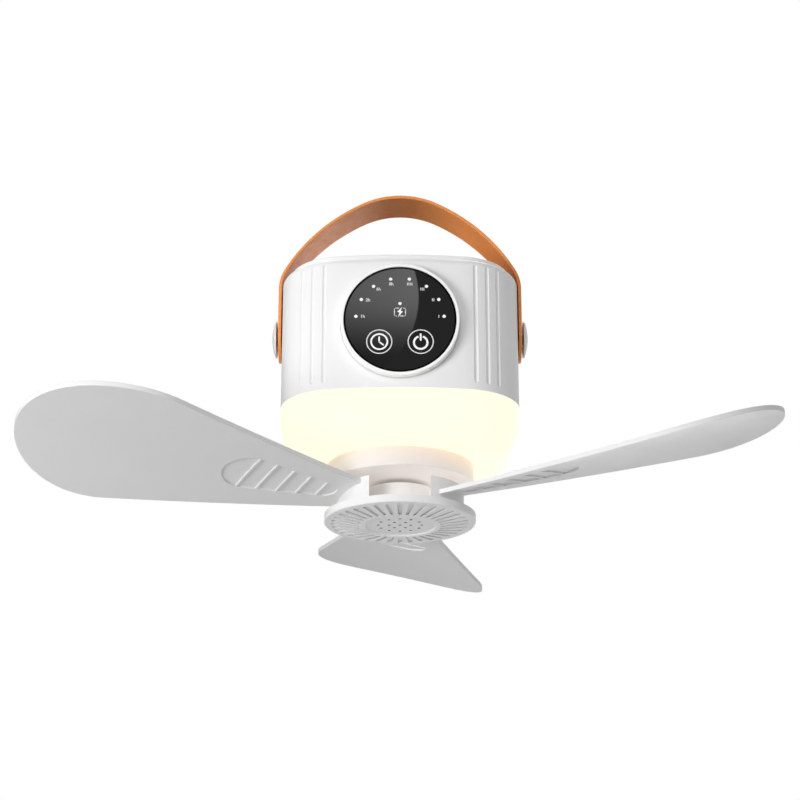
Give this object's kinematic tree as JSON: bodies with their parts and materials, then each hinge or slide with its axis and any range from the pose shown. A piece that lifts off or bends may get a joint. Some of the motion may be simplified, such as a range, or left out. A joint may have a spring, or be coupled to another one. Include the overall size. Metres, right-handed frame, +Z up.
{
  "type": "hanging camping fan",
  "caption": "Hanging camping fan with a lantern body: strap handle, round touch panel, lit diffuser bowl, and tear-shaped blades on a grooved hub below.",
  "frame": {"origin": "hang point: the underside of the strap handle at the top of its arch, on the fan's axis", "axes": "+X along the handle's pivot line, to the right seen from the front; -Y toward the front with the touch panel; +Z up, along the fan's axis"},
  "size_m": [0.3584, 0.3229, 0.1758],
  "materials": {
    "white_plastic": "satin",
    "diffuser_plastic": "translucent satin",
    "strap_leather": "smooth",
    "dark_steel": "satin",
    "panel_black": "polished",
    "clear_plastic": "polished",
    "circuit_board": "satin",
    "led_white": "polished",
    "cell_wrap": "satin",
    "zinc_steel": "bright",
    "lamination": "dull",
    "copper": "enamelled",
    "magnet": "dull"
  },
  "bodies": {
    "handle": {"handle_strap": "strap_leather"},
    "lamp_body": {"pivot_pins": "dark_steel", "pivot_caps": "white_plastic", "pivot_nuts": "zinc_steel", "housing_shell": "white_plastic", "top_cover": "white_plastic", "panel_bezel": "white_plastic", "panel_glass": "panel_black", "light_guide": "clear_plastic", "indicator_leds": "led_white", "touch_board": "circuit_board", "battery_cells": "cell_wrap", "battery_cradle": "white_plastic", "control_board": "circuit_board", "usb_socket": "zinc_steel", "light_plate": "white_plastic", "plate_screws": "zinc_steel", "motor_screws": "zinc_steel", "led_board": "circuit_board", "led_chips": "led_white", "diffuser": "diffuser_plastic", "motor_housing": "white_plastic", "shaft_bearings": "zinc_steel", "stator_core": "lamination", "stator_coils": "copper"},
    "rotor": {"motor_bell": "zinc_steel", "magnet_ring": "magnet", "motor_shaft": "zinc_steel", "blade_hub": "white_plastic", "hub_nut": "zinc_steel", "blade_screws": "zinc_steel", "hub_cap": "white_plastic", "fan_blade_1": "white_plastic", "fan_blade_2": "white_plastic", "fan_blade_3": "white_plastic"}
  },
  "joints": [
    {"name": "handle_pivot", "type": "hinge", "parent": "handle", "child": "lamp_body", "pos_m": [0, 0, -0.07445], "axis": [1, 0, 0], "range_deg": [-90, 90]},
    {"name": "fan_spin", "type": "hinge", "parent": "lamp_body", "child": "rotor", "pos_m": [0, 0, -0.15], "axis": [0, 0, 1], "continuous": true}
  ]
}
